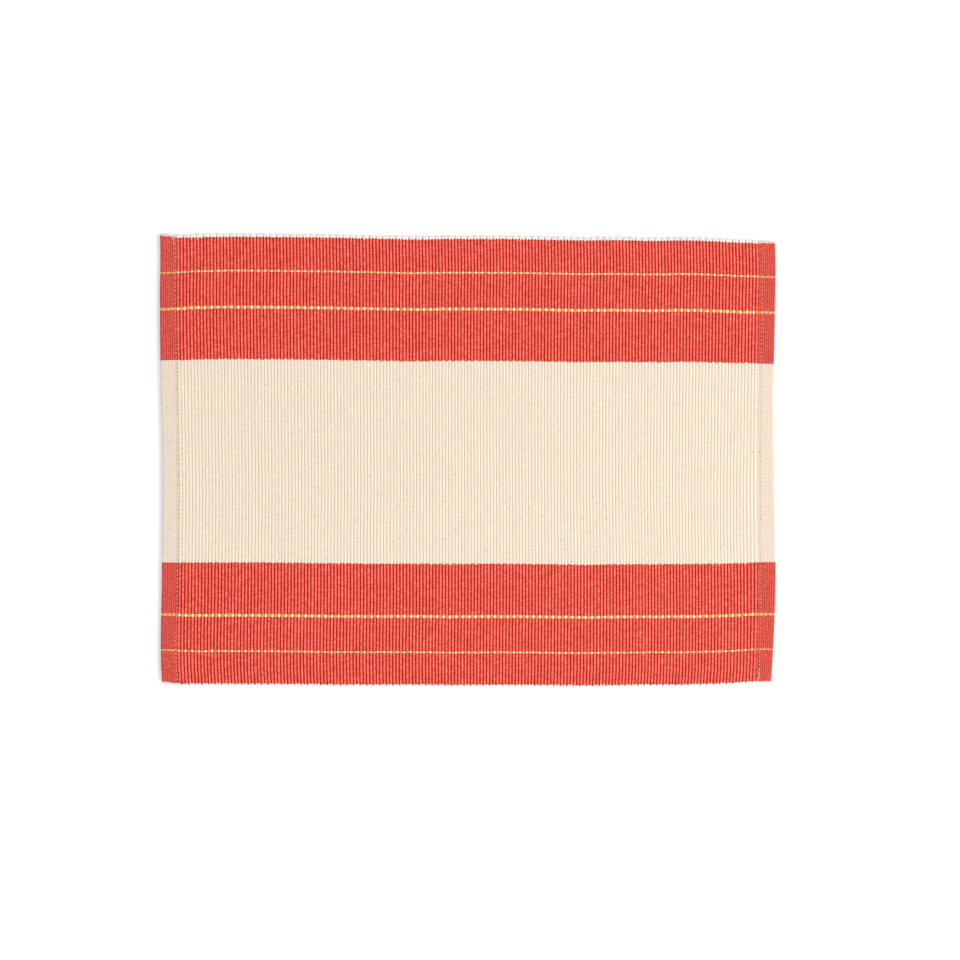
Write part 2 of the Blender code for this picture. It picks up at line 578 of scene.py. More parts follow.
@dataclass
class Strands:
    """Short lengths of yarn or thread, gathered into one mesh of closed tubes."""

    sides: int = 6
    vertices: list[np.ndarray] = field(default_factory=list)
    faces: list[list[int]] = field(default_factory=list)
    strand: list[np.ndarray] = field(default_factory=list)
    shade: list[np.ndarray] = field(default_factory=list)
    count: int = 0

    def add(self, path: np.ndarray, width: np.ndarray, height: np.ndarray, tone: float) -> None:
        """Add one length of yarn.

        Args:
            path: the points that its middle follows.
            width: half its width at each point.
            height: half its height at each point.
            tone: how light this length is, round 0.5.
        """
        points = len(path)
        tangent = np.gradient(path, axis=0)
        tangent /= np.linalg.norm(tangent, axis=1)[:, None]
        across = np.cross(tangent, (0.0, 0.0, 1.0))
        across /= np.maximum(np.linalg.norm(across, axis=1), 1e-9)[:, None]
        over = np.cross(across, tangent)
        angle = 2 * math.pi * np.arange(self.sides) / self.sides
        cosine, sine = np.cos(angle), np.sin(angle)
        ring = (
            path[:, None, :]
            + across[:, None, :] * cosine[None, :, None] * width[:, None, None]
            + over[:, None, :] * sine[None, :, None] * height[:, None, None]
        )
        steps = np.linalg.norm(np.diff(path, axis=0), axis=1)
        run = np.concatenate([[0.0], np.cumsum(steps)]) / MM
        base = self.count
        self.vertices.append(ring.reshape(-1, 3))
        attribute = np.empty((points, self.sides, 3))
        attribute[:, :, 0] = run[:, None]
        attribute[:, :, 1] = cosine[None, :]
        attribute[:, :, 2] = sine[None, :]
        self.strand.append(attribute.reshape(-1, 3))
        self.shade.append(np.tile((tone, 0.0, 0.0), (points * self.sides, 1)))
        for k in range(points - 1):
            for j in range(self.sides):
                after = (j + 1) % self.sides
                first = base + k * self.sides
                second = first + self.sides
                self.faces.append([first + j, first + after, second + after, second + j])
        last = base + (points - 1) * self.sides
        self.faces.append([base + j for j in reversed(range(self.sides))])
        self.faces.append([last + j for j in range(self.sides)])
        self.count += points * self.sides

    def piece(self, name: str, material: bpy.types.Material) -> bpy.types.Object:
        """Make the object."""
        vectors = {"strand": np.concatenate(self.strand), "shade": np.concatenate(self.shade)}
        return make_piece(name, np.concatenate(self.vertices), self.faces, material, vectors)


# Finishes


@dataclass(frozen=True)
class YarnFinish:
    """A plied cotton yarn, with its twist, fuzz, slight change of tone and painted shade between its
    plies.
    """

    name: str
    light: Colour
    dark: Colour
    twist: float = 2.2
    relief: float = 0.05
    sheen: float = 0.25
    roughness: float = 0.85

    def material(self) -> bpy.types.Material:
        """Return the material."""
        graph = Graph(self.name)
        run, cosine, sine = graph.attribute("strand")
        tone = graph.attribute("shade")[0]
        turn = run * self.twist
        ply = (sine * turn.cosine() + cosine * turn.sine()) * 0.5 + 0.5
        place = graph.value("ShaderNodeTexCoord", output="Object")
        fuzz = graph.noise(place, 2500.0, 3.0)
        # Painted shade in the grooves between the plies, mixed with the fuzz and each length's own tone.
        lightness = (ply * 0.5 + fuzz * 0.5 + (tone - 0.5) * 0.8).ramp(0.1, 0.9)
        colour = graph.mix(lightness, self.dark, self.light)
        height = ply * self.relief + fuzz * self.relief
        return graph.finish(colour, fuzz * 0.15 + (self.roughness - 0.07), height, self.sheen)


@dataclass(frozen=True)
class BandTones:
    """The colours of one band of warp: painted shade in the grooves between its ribs, a painted
    highlight on their crests, and the same between and on the header's fine wefts.
    """

    groove: Colour
    crest: Colour
    header_shade: Colour
    header_highlight: Colour
    fleck: Colour


@dataclass(frozen=True)
class Unevenness:
    """How strongly the cloth's lightness varies, and with what: random tone, and beads and pairs that
    are partly painted highlights on the crests.
    """

    ribs: float = 0.08
    ends: float = 0.10
    beads: float = 0.85
    pairs: float = 0.52
    darkest: float = -0.16
    mottle: float = 0.06
    mottle_gain: float = 0.01


@dataclass(frozen=True)
class ClothFinish:
    """The banded warp-faced cloth: its bands, ribs, warp ends, specks and needle holes.

    Lengths are in millimetres of the cloth's own coordinates. The two pairs about grooves are the
    cream's value, and how much less it is in the red.
    """

    name: str
    red: BandTones
    cream: BandTones
    accent_ground: Colour
    nep: Colour
    hole_shade: Colour
    back_band: float
    front_band: float
    stripes: tuple[tuple[float, float], ...]
    half_width: float
    rib_pitch: float
    header_pitch: float
    stitch_pitch: float
    warp_pitch: float = 0.62
    hole_radius: float = 0.46
    groove_stray: tuple[float, float] = (0.26, 0.18)
    groove_change: tuple[float, float] = (0.5, 0.34)
    red_sharpness: float = 2.5
    sheen: float = 0.02
    uneven: Unevenness = Unevenness()
    seeds: Specks = Specks(8.0, 0.50, 0.42, 0.85)
    dust: Specks = Specks(2.9, 0.32, 0.30, 0.35)
    knots: Specks = Specks(2.7, 0.50, 0.35, 0.6)
    pale: Specks = Specks(5.3, 0.6, 0.25, 0.4)

    def material(self) -> bpy.types.Material:
        """Return the material."""
        graph = Graph(self.name)
        rib, across, depth = graph.attribute("weave")
        header, under = graph.attribute("zone")[:2]
        run = rib * self.rib_pitch - depth
        whole = rib.floor()
        odd = (whole * 0.5).fraction() * 2.0
        wobble = graph.noise(graph.vector(whole * 3.7, across * 0.6, under * 40.0), 1.0, 1.0) - 0.5
        groove = graph.vector((rib + 0.5).floor() * 5.3, across * 0.22, under * 40.0)
        deepness = graph.noise(groove, 1.0, 1.0) - 0.5
        is_red = self._red(graph, whole, odd, across, under)
        stray, less_stray = self.groove_stray
        change, less_change = self.groove_change
        # The crest mask places the painted shade and highlights; its crests wander and its grooves
        # deepen in places.
        crest = 1.0 - abs((rib.fraction() + wobble * (stray - is_red * less_stray)) * 2.0 - 1.0) ** 2.0
        crest = (crest + deepness * (change - is_red * less_change)).most(0.0).least(1.0)
        fine = 1.0 - abs((depth / self.header_pitch).fraction() * 2.0 - 1.0) ** 2.0
        thread = (across / self.warp_pitch + odd * 0.5).floor()
        flat = graph.vector(run, across, under * 60.0)

        lively = (1.0 - header * 0.6) * (is_red * 0.88 + 0.12)
        line = whole + header * (depth / self.header_pitch).floor() * 3.0
        tone = self._tone(graph, flat, rib, line, thread, crest, lively)
        # Painted shade in the rib grooves and a painted highlight on the crests; in the headers, painted
        # shade between the fine wefts and a painted highlight on them.
        ribbed = graph.mix(
            is_red,
            graph.mix(crest, self.cream.groove, self.cream.crest),
            graph.mix(crest ** self.red_sharpness, self.red.groove, self.red.crest),
        )
        plain = graph.mix(
            is_red,
            graph.mix(fine, self.cream.header_shade, self.cream.header_highlight),
            graph.mix(fine, self.red.header_shade, self.red.header_highlight),
        )
        colour = graph.scaled(graph.mix(header, ribbed, plain), tone)
        colour = self._accents(graph, colour, across, crest)
        colour = self._flecks(graph, colour, flat, is_red, crest)
        # Painted shade in the needle holes: dark brown in the cream, deep red in the red.
        holes = self._holes(graph)
        deep = graph.mix(is_red, self.hole_shade, graph.scaled(self.red.groove, 0.7))
        colour = graph.mix(holes * (is_red * 0.15 + 0.8), colour, deep)
        # Painted shade along both selvedges, in the rib grooves and between the header's fine wefts,
        # where the cloth turns down.
        edge = 1.0 - (self.half_width - abs(across)).ramp(0.1, 1.6)
        low = (1.0 - crest) * (1.0 - header) * 0.5 + (1.0 - fine) * header
        colour = graph.mix(edge * low, colour, graph.scaled(colour, 0.5))

        # Fine relief: the warp ends that cross each rib, and the loose fibre on them.
        ends = ((across / self.warp_pitch + odd * 0.5) * (2 * math.pi)).cosine() * 0.5
        place = graph.value("ShaderNodeTexCoord", output="Object")
        fibre = graph.noise(place, 3000.0, 2.0)
        lumps = graph.noise(flat, 0.8, 2.0)
        relief = ends * (crest * 0.05 + 0.01) * (1.0 - header * 0.8) + fibre * 0.05
        relief = relief + lumps * 0.05 - holes * 0.25
        rough = graph.noise(place, 900.0, 2.0) * 0.12 + 0.84
        return graph.finish(colour, rough, relief, self.sheen)

    def _red(self, graph: Graph, whole: Value, odd: Value, across: Value, under: Value) -> Value:
        """Return the mask of the red bands, whose edges step a little from rib to rib.

        Args:
            graph: the material's graph.
            whole: the rib's number.
            odd: whether that number is odd.
            across: distance from the mat's middle towards its back.
            under: 1 on the underside.

        Returns:
            The mask.
        """
        step = (odd - 0.5) * (1.0 - under * 2.0) * 0.5
        stray = (graph.random(graph.vector(whole, 3.0)) - 0.5) * 0.4
        edge = (across - self.back_band).most(self.front_band - across) + step + stray
        return edge.ramp(-0.12, 0.12)

    def _tone(
        self,
        graph: Graph,
        flat: Value,
        rib: Value,
        whole: Value,
        thread: Value,
        crest: Value,
        lively: Value,
    ) -> Value:
        """Return how much lighter or darker each place is, from the dye, the yarn and painted highlights
        on the crests.

        Args:
            graph: the material's graph.
            flat: the place on the flat cloth, in millimetres.
            rib: the rib's number, with the place across it as a fraction.
            whole: the number of the rib, or of the header's fine weft.
            thread: the warp end's number.
            crest: 1 on the rib's crest.
            lively: how strongly the warp ends differ from each other, from 0 to 1.

        Returns:
            A factor round 1.
        """
        ribs = graph.noise(graph.vector(whole * 7.3, thread * 0.22), 1.0, 1.0) - 0.5
        ends = graph.noise(graph.vector(rib * 0.11, thread * 5.1), 1.0, 1.0) - 0.5
        beads = graph.random(graph.vector(whole, thread)) - 0.5
        pairs = graph.random(graph.vector(whole + 0.5, (thread * 0.4 + whole * 0.37).floor())) - 0.5
        mottle = graph.noise(flat, 0.35, 3.0) - 0.5
        uneven = self.uneven
        # Painted highlights broken into beads along the crests, mixed with each warp end's own random
        # tone.
        grain = (beads * uneven.beads + pairs * uneven.pairs).most(uneven.darkest)
        return (
            1.0
            + (ribs * uneven.ribs + ends * uneven.ends) * lively
            + grain * (crest * 0.85 + 0.15) * lively
            + mottle * (lively * uneven.mottle_gain + uneven.mottle)
        )

    def _accents(self, graph: Graph, colour: Value, across: Value, crest: Value) -> Value:
        """Dye the ground of the accent stripes, under their yarns, with painted shade in its grooves.

        Args:
            graph: the material's graph.
            colour: the cloth's colour.
            across: distance from the mat's middle towards its back.
            crest: 1 on the rib's crest.

        Returns:
            The colour with the stripes.
        """
        for middle, width in self.stripes:
            here = 1.0 - abs(across - middle).ramp(width / 2 - 0.2, width / 2 + 0.1)
            # Painted shade: the stripe's ground darkens away from the rib crests.
            colour = graph.mix(here * 0.9, colour, graph.scaled(self.accent_ground, crest * 0.3 + 0.7))
        return colour

    def _flecks(
        self, graph: Graph, colour: Value, flat: Value, is_red: Value, crest: Value
    ) -> Value:
        """Add the seed flecks of the undyed cotton, and the pale fibre knots of the red, which are
        partly painted highlights on its crests.

        Args:
            graph: the material's graph.
            colour: the cloth's colour.
            flat: the place on the flat cloth, in millimetres.
            is_red: the mask of the red bands.
            crest: 1 on the rib's crest.

        Returns:
            The colour with the flecks.
        """
        warm = graph.noise(flat, 0.07, 2.0).ramp(0.36, 0.64)
        tint = graph.mix(warm, (1.0, 1.005, 0.97), (1.005, 0.985, 1.005))
        colour = graph.mix(is_red, graph.tinted(colour, tint), colour)
        seeds = graph.specks(flat, self.seeds).most(graph.specks(flat, self.dust) * self.dust.strength)
        colour = graph.mix(seeds * (1.0 - is_red) * self.seeds.strength, colour, self.cream.fleck)
        # Pale fibre knots on the red's crests, partly painted highlight spots.
        knots = graph.specks(flat, self.knots) * is_red * crest
        colour = graph.mix(knots * self.knots.strength, colour, self.red.fleck)
        pale = graph.specks(flat, self.pale) * (1.0 - is_red)
        return graph.mix(pale * self.pale.strength, colour, self.nep)

    def _holes(self, graph: Graph) -> Value:
        """Return the mask of the painted shade in the needle holes between the hem stitches.

        Args:
            graph: the material's graph.

        Returns:
            The mask.
        """
        away, stitch, shown = graph.attribute("seam")
        along = (stitch.fraction() - 0.5) * self.stitch_pitch
        near = (away * away + along * along) ** 0.5
        beside = away - 1.4
        second = (beside * beside + (along - 0.6) * (along - 0.6)) ** 0.5
        main = 1.0 - near.ramp(self.hole_radius * 0.5, self.hole_radius * 1.3)
        faint = 1.0 - second.ramp(self.hole_radius * 0.3, self.hole_radius)
        worn = graph.random(graph.vector(stitch.floor(), 7.0)) * 0.6 + 0.4
        return main.most(faint * 0.5) * shown * worn


# The cloth


class Rung(NamedTuple):
    """One place along the cloth's section, with a point on its face and one on its underside.

    The last three numbers are the rib that the place is on, 1 on a header, and how far along the
    header's cloth the place is from the ribs, in millimetres.
    """

    face_along: float
    face_z: float
    under_along: float
    under_z: float
    rib: float
    header: float
    depth: float


@dataclass
class HemSizes:
    """One end's hem: the side it is on and how deep its cloth is turned under."""

    side: int
    turned_depth: float


@dataclass
class Weave:
    """The cloth's make-up: its ribs, bands, stripes and hems."""

    lay: Lay
    ribs: int = 178
    rib_pitch: float = 2.4 * MM
    crowd_taper: float = 0.025
    thickness: float = 2.4 * MM
    rib_relief: float = 0.55 * MM
    rib_roundness: float = 2.4
    face_allowance: float = 0.12 * MM
    hem_height: float = 2.2 * MM
    layer_gap: float = 0.3 * MM
    lift: float = 0.1 * MM
    header_pitch: float = 1.58 * MM
    header_relief: float = 0.12 * MM
    back_band: float = 0.2738
    front_band: float = 0.7283
    stitch_pitch: float = 3.1 * MM
    hems: tuple[HemSizes, HemSizes] = (HemSizes(-1, 11.9 * MM), HemSizes(1, 11.2 * MM))

    def along(self, rib: np.ndarray) -> np.ndarray:
        """Return where a rib lies along the mat.

        Args:
            rib: rib number, whose fraction is the place from one groove to the next.

        Returns:
            Its nominal place.
        """
        start, end = self.lay.rib_zone
        share = np.asarray(rib, dtype=float) / self.ribs
        crowd = np.interp(share, *zip(*CROWDING)) * MM
        taper = np.clip(np.minimum(share, 1 - share) / self.crowd_taper, 0, 1)
        return start + (end - start) * share + crowd * taper

    def crest(self, rib: np.ndarray) -> np.ndarray:
        """Return how high the cloth stands on its rib, from 0 in a groove to 1 on a crest."""
        away = np.abs(np.mod(rib, 1.0) * 2.0 - 1.0)
        return np.sqrt(np.clip(1.0 - away ** self.rib_roundness, 0.0, 1.0))

    def rib_tops(self, rib: np.ndarray) -> np.ndarray:
        """Return the height of the face over each place of a rib."""
        top = self.thickness - self.face_allowance
        return top - self.rib_relief * (1.0 - self.crest(rib))

    def seam_depth(self, side: int, y: np.ndarray) -> np.ndarray:
        """Return how far in from its end of the mat a hem's seam runs."""
        depths = [row.left if side < 0 else row.right for row in SEAMS]
        return np.interp(y, [row.y * MM for row in SEAMS], depths) * MM

    def across_mm(self, share: float) -> float:
        """Return a line's place across the cloth in millimetres."""
        return (0.5 - share) * self.width_mm

    @property
    def width_mm(self) -> float:
        """Return the cloth's nominal width in millimetres."""
        turns = self.lay.back_turn + self.lay.front_turn
        return (2 * self.lay.half_width - turns) / MM

    @property
    def header_layer(self) -> float:
        """Return the thickness of the header's cloth."""
        return (self.hem_height - 2 * self.layer_gap) / 3


@dataclass
class Cloth:
    """The whole cloth as one closed mesh, hems included."""

    weave: Weave
    rib_stops: tuple[float, ...] = (0.0, 0.09, 0.26, 0.5, 0.74, 0.91)
    fold_steps: int = 8
    row_spacing: float = 10.0 * MM
    end_rows: tuple[tuple[float, float], ...] = (
        (0.0, 0.40),
        (0.14, 0.68),
        (0.42, 0.88),
        (0.95, 0.98),
        (1.9, 1.0),
    )
    scallop: float = 0.6 * MM
    scallop_run: float = 1.3 * MM

    def fold(self, centre: float, radius: float, towards: int) -> list[tuple[float, ...]]:
        """Return the section round one half-turn of the header.

        Args:
            centre: how far in from the mat's end the half-turn's middle is.
            radius: its outer radius, which is also its middle's height.
            towards: 1 if it bulges inwards and turns down, -1 if outwards and up.

        Returns:
            Face depth, face height, underside depth and underside height of each place.
        """
        inner = radius - self.weave.header_layer
        entries = []
        for angle in np.linspace(math.pi / 2, -math.pi / 2, self.fold_steps + 1):
            inwards, upwards = towards * math.cos(angle), towards * math.sin(angle)
            entries.append((
                centre + radius * inwards,
                radius + radius * upwards,
                centre + inner * inwards,
                radius + inner * upwards,
            ))
        return entries

    def hem(self, sizes: HemSizes) -> list[Rung]:
        """Return one hem's rungs, from its raw edge to the first rib.

        Args:
            sizes: the hem.

        Returns:
            The rungs.
        """
        weave = self.weave
        layer = weave.header_layer
        end_radius = weave.hem_height / 2
        tuck_radius = layer + weave.layer_gap / 2
        tuck_centre = sizes.turned_depth - tuck_radius
        tuck_top = 2 * tuck_radius
        root = weave.lay.half_length - weave.lay.rib_zone[1]
        entries = [(2 * end_radius, tuck_top, 2 * end_radius, tuck_top - layer)]
        entries += self.fold(tuck_centre, tuck_radius, towards=1)
        for depth in (tuck_centre * 0.66, tuck_centre * 0.33):
            entries.append((depth, 0.0, depth, layer))
        entries += self.fold(end_radius, end_radius, towards=-1)
        on_top = len(entries)
        first = math.floor((root - end_radius) / weave.header_pitch * 4)
        for stop in range(first, 0, -1):
            depth = root - stop * weave.header_pitch / 4
            if depth > end_radius + 0.1 * MM:
                entries.append((depth, weave.hem_height, depth, weave.hem_height - layer))
        face = np.array([(entry[0], entry[1]) for entry in entries])
        steps = np.linalg.norm(np.diff(face, axis=0), axis=1)
        travelled = np.concatenate([[0.0], np.cumsum(steps)])
        runs = travelled[-1] - travelled + (root - face[-1, 0])
        squeeze = 1.0 - weave.lift / weave.hem_height
        rungs = []
        for k, (entry, run) in enumerate(zip(entries, runs)):
            away = abs(2 * math.modf(run / weave.header_pitch)[0] - 1) ** 2
            drop = weave.header_relief * away if k >= on_top else 0.0
            rungs.append(Rung(
                sizes.side * (weave.lay.half_length - entry[0]),
                weave.lift + entry[1] * squeeze - drop,
                sizes.side * (weave.lay.half_length - entry[2]),
                weave.lift + entry[3] * squeeze,
                0.5 if sizes.side < 0 else weave.ribs - 0.5,
                1.0,
                run / MM,
            ))
        return rungs

    def hem_faces(self) -> tuple[np.ndarray, np.ndarray]:
        """Return both headers' faces, each from the ribs to its raw edge.

        Returns:
            The nominal place and the height of each point, for the left hem and the right one.
        """
        left, right = (
            np.array([(rung.face_along, rung.face_z) for rung in reversed(self.hem(sizes))])
            for sizes in self.weave.hems
        )
        return left, right

    def body(self) -> list[Rung]:
        """Return the ribbed cloth's rungs, from left to right."""
        weave = self.weave
        places = [k + stop for k in range(weave.ribs) for stop in self.rib_stops]
        places = np.array([*places, weave.ribs])
        tops = weave.rib_tops(np.minimum(places, weave.ribs - 1e-6))
        ends = 0.15 * MM
        along = weave.along(places)
        along[0] += ends
        along[-1] -= ends
        return [
            Rung(x, top, x, weave.thickness - top, min(rib, weave.ribs - 0.001), 0.0, 0.0)
            for x, top, rib in zip(along.tolist(), tops.tolist(), places.tolist())
        ]

    def rows(self) -> list[tuple[float, float]]:
        """Return the cloth's rows as (share of the way across, share of full thickness)."""
        width = self.weave.width_mm * MM
        near = [(distance * MM / width, full) for distance, full in self.end_rows]
        inner = near[-1][0]
        count = round((1 - 2 * inner) * width / self.row_spacing)
        middle = [(float(share), 1.0) for share in np.linspace(inner, 1 - inner, count + 1)[1:-1]]
        return near + middle + [(1 - share, full) for share, full in reversed(near)]

    def make(self, finish: ClothFinish) -> bpy.types.Object:
        """Make the piece.

        Args:
            finish: the cloth's finish.

        Returns:
            The object.
        """
        weave = self.weave
        left, right = (self.hem(sizes) for sizes in weave.hems)
        section = np.array(left + self.body() + right[::-1])
        rows = self.rows()
        share = np.array([row[0] for row in rows])
        full = np.array([row[1] for row in rows])
        rungs = len(section)
        generator = np.random.default_rng(SEED)
        ribbed = section[:, 5] < 0.5
        width = weave.width_mm * MM
        recede = {
            side: self.recede(section[:, 4], first, generator) * ribbed
            for side, first in ((Side.BACK, 0), (Side.FRONT, 1))
        }
        layers = []
        for along_column, z_column, under in ((0, 1, 0.0), (2, 3, 1.0)):
            along = np.broadcast_to(section[:, along_column], (len(rows), rungs))
            across = np.broadcast_to(share[:, None], (len(rows), rungs))
            x, y = weave.lay.place(along, across)
            pull = recede[Side.FRONT] * np.exp(-across * width / self.scallop_run)
            pull = pull - recede[Side.BACK] * np.exp(-(1 - across) * width / self.scallop_run)
            middle = (section[:, 1] + section[:, 3]) / 2
            z = middle[None, :] + (section[:, z_column] - middle)[None, :] * full[:, None]
            weave_vector = np.stack([
                np.broadcast_to(section[:, 4], x.shape),
                (across - 0.5) * weave.width_mm,
                np.broadcast_to(section[:, 6], x.shape),
            ], axis=-1)
            zone = np.stack([
                np.broadcast_to(section[:, 5], x.shape),
                np.full_like(x, under),
                np.zeros_like(x),
            ], axis=-1)
            points = np.stack([x, y + pull, z], axis=-1)
            layers.append((points, weave_vector, zone, self.seam(along, y, across)))
        vertices, *attributes = (
            np.concatenate([part.reshape(-1, 3) for part in parts]) for parts in zip(*layers)
        )
        vectors = dict(zip(("weave", "zone", "seam"), attributes))
        faces = self.faces(len(rows), rungs)
        return make_piece("ribbed_cloth", vertices, faces, finish.material(), vectors)

    def recede(self, rib: np.ndarray, first: int, generator: np.random.Generator) -> np.ndarray:
        """Return how far each place of a selvedge is pushed back by the weft turn beside it.

        Args:
            rib: rib numbers with their fractions.
            first: the first rib of the selvedge's first turn.
            generator: source of the small differences between turns.

        Returns:
            The distance at each place, greatest in the middle of a turn.
        """
        turn = (rib - first) / 2
        strength = generator.uniform(0.75, 1.2, self.weave.ribs)[np.floor(turn).astype(int) + 1]
        return self.scallop * (strength * np.sin(np.mod(turn, 1.0) * math.pi) - 0.5)

    def seam(self, along: np.ndarray, y: np.ndarray, across: np.ndarray) -> np.ndarray:
        """Return where each place is from the nearest hem seam.

        Args:
            along: nominal places along the mat.
            y: their Y.
            across: their shares of the way across.

        Returns:
            Millimetres in from the seam, the stitch's number with its fraction, and 1 near a seam.
        """
        weave = self.weave
        depth = weave.lay.half_length - np.abs(along)
        seam = np.where(along < 0, weave.seam_depth(-1, y), weave.seam_depth(1, y))
        away = (depth - seam) / MM
        stitch = across * weave.width_mm * MM / weave.stitch_pitch
        return np.stack([np.clip(away, -9.0, 9.0), stitch, (np.abs(away) < 4.0).astype(float)], axis=-1)

    @staticmethod
    def faces(rows: int, rungs: int) -> np.ndarray:
        """Return the faces of both surfaces, the selvedges and the raw edges.

        Args:
            rows: how many rows the cloth has.
            rungs: how many places its section has.

        Returns:
            Four vertex numbers for each face.
        """
        face = np.arange(rows * rungs).reshape(rows, rungs)
        under = face + rows * rungs

        def grid(lines: np.ndarray, flip: bool) -> np.ndarray:
            """Return the quads between neighbouring lines of vertices."""
            quads = np.stack([lines[:-1, :-1], lines[:-1, 1:], lines[1:, 1:], lines[1:, :-1]], axis=-1)
            quads = quads.reshape(-1, 4)
            return quads[:, ::-1] if flip else quads

        return np.concatenate([
            grid(face, False),
            grid(under, True),
            grid(np.stack([under[0], face[0]]), False),
            grid(np.stack([under[-1], face[-1]]), True),
            grid(np.stack([under[:, 0], face[:, 0]]), True),
            grid(np.stack([under[:, -1], face[:, -1]]), False),
        ])

    def flat_size(self) -> tuple[float, float]:
        """Return the cloth's width and length before its ends are turned under."""
        turned = sum(2 * sizes.turned_depth for sizes in self.weave.hems)
        return 2 * self.weave.lay.half_width, 2 * self.weave.lay.half_length + turned


# Yarns on the cloth


@dataclass
class Stripe:
    """One accent stripe: its place across the mat and how many yarns lie side by side in it."""

    share: float
    yarns: int
    yarn_width: float


@dataclass(frozen=True)
class YarnShow:
    """How much of one colour of accent yarn shows.

    Reaches are shares of a rib or of a header's weft, and fullnesses shares of the yarn's width.
    """

    reach: float
    fullness: float
    height: float
    sink: float
    header_reach: float
    header_fullness: float


@dataclass
class AccentStripes:
    """The yarns that show white on every other rib and yellow on the ribs between."""

    weave: Weave
    hems: tuple[np.ndarray, np.ndarray]
    stripes: tuple[Stripe, ...] = (
        Stripe(0.0760, 2, 0.58 * MM),
        Stripe(0.1575, 3, 0.68 * MM),
        Stripe(0.8466, 3, 0.68 * MM),
        Stripe(0.9268, 2, 0.58 * MM),
    )
    white: YarnShow = YarnShow(0.46, 0.66, 0.34 * MM, 0.16 * MM, 0.24, 0.32)
    yellow: YarnShow = YarnShow(0.60, 0.52, 0.24 * MM, 0.0, 0.70, 0.40)
    points: int = 7
    proud: float = 0.02 * MM
    header_height: float = 0.16 * MM
    header_spacing: float = 0.85

    def make(self, white: YarnFinish, yellow: YarnFinish) -> list[bpy.types.Object]:
        """Make both pieces.

        Args:
            white: the white yarn's finish.
            yellow: the yellow yarn's finish.

        Returns:
            The white piece and the yellow piece.
        """
        generator = np.random.default_rng(SEED + 1)
        strands = {True: Strands(), False: Strands()}
        for stripe in self.stripes:
            for face in (True, False):
                for rib in range(self.weave.ribs):
                    is_white = (rib % 2 == 0) == face
                    self.over_rib(strands[is_white], stripe, rib, is_white, face, generator)
            for hem in self.hems:
                self.over_header(strands, stripe, hem, generator)
        return [
            strands[True].piece("white_accent_yarns", white.material()),
            strands[False].piece("yellow_accent_yarns", yellow.material()),
        ]

    def over_rib(
        self,
        strands: Strands,
        stripe: Stripe,
        rib: int,
        is_white: bool,
        face: bool,
        generator: np.random.Generator,
    ) -> None:
        """Add the yarns that cross one rib.

        Args:
            strands: what they are added to.
            stripe: the stripe.
            rib: the rib's number.
            is_white: whether they are white.
            face: whether they are on the mat's face, not its underside.
            generator: source of the small differences between them.
        """
        weave = self.weave
        show = self.white if is_white else self.yellow
        bend = np.linspace(-1.0, 1.0, self.points)
        shift = generator.normal(0.0, 0.06) * MM
        place = rib + 0.5 + bend * show.reach * generator.uniform(0.93, 1.07)
        along = weave.along(place)
        surface = weave.rib_tops(np.clip(place, rib + 0.001, rib + 0.999))
        sink = show.sink * np.abs(bend) ** 3
        z = surface + weave.face_allowance - show.height + self.proud - sink
        z = z if face else weave.thickness - z
        swell = np.sqrt(np.clip(1.0 - (0.93 * np.abs(bend)) ** 3, 0.05, 1.0))
        for k in range(stripe.yarns):
            offset = (k - (stripe.yarns - 1) / 2) * stripe.yarn_width + shift
            offset += generator.normal(0.0, 0.03) * MM
            lean = generator.normal(0.0, 0.05) * MM
            share = 1.0 - stripe.share + (offset + lean * bend) / (weave.width_mm * MM)
            x, y = weave.lay.place(along, share)
            width = stripe.yarn_width * show.fullness * swell * generator.uniform(0.93, 1.07)
            path = np.stack([x, y, z], axis=1)
            strands.add(path, width, show.height * swell, generator.uniform(0.1, 0.9))

    def over_header(
        self,
        strands: Mapping[bool, Strands],
        stripe: Stripe,
        hem: np.ndarray,
        generator: np.random.Generator,
    ) -> None:
        """Add the yarns that cross the fine wefts of one header.

        Args:
            strands: what they are added to, by whether they are white.
            stripe: the stripe.
            hem: nominal place and height of the header's face, from the ribs to its raw edge.
            generator: source of the small differences between them.
        """
        weave = self.weave
        steps = np.linalg.norm(np.diff(hem, axis=0), axis=1)
        run = np.concatenate([[0.0], np.cumsum(steps)])
        bend = np.linspace(-1.0, 1.0, self.points)
        for number in range(int(run[-1] / weave.header_pitch)):
            is_white = number % 2 == 1
            show = self.white if is_white else self.yellow
            place = (number + 0.5 + bend * show.header_reach) * weave.header_pitch
            along = np.interp(place, run, hem[:, 0])
            z = np.interp(place, run, hem[:, 1])
            z = z + np.where(z > weave.hem_height / 2, 0.03, 0.06) * MM
            swell = np.sqrt(np.clip(1.0 - (0.93 * np.abs(bend)) ** 4, 0.05, 1.0))
            shift = generator.normal(0.0, 0.05) * MM
            for k in range(stripe.yarns):
                offset = (k - (stripe.yarns - 1) / 2) * stripe.yarn_width * self.header_spacing + shift
                share = 1.0 - stripe.share + offset / (weave.width_mm * MM)
                x, y = weave.lay.place(along, np.full(self.points, share))
                width = stripe.yarn_width * show.header_fullness * swell
                path = np.stack([x, y, z], axis=1)
                tone = generator.uniform(0.2, 0.6)
                strands[is_white].add(path, width, self.header_height * swell, tone)


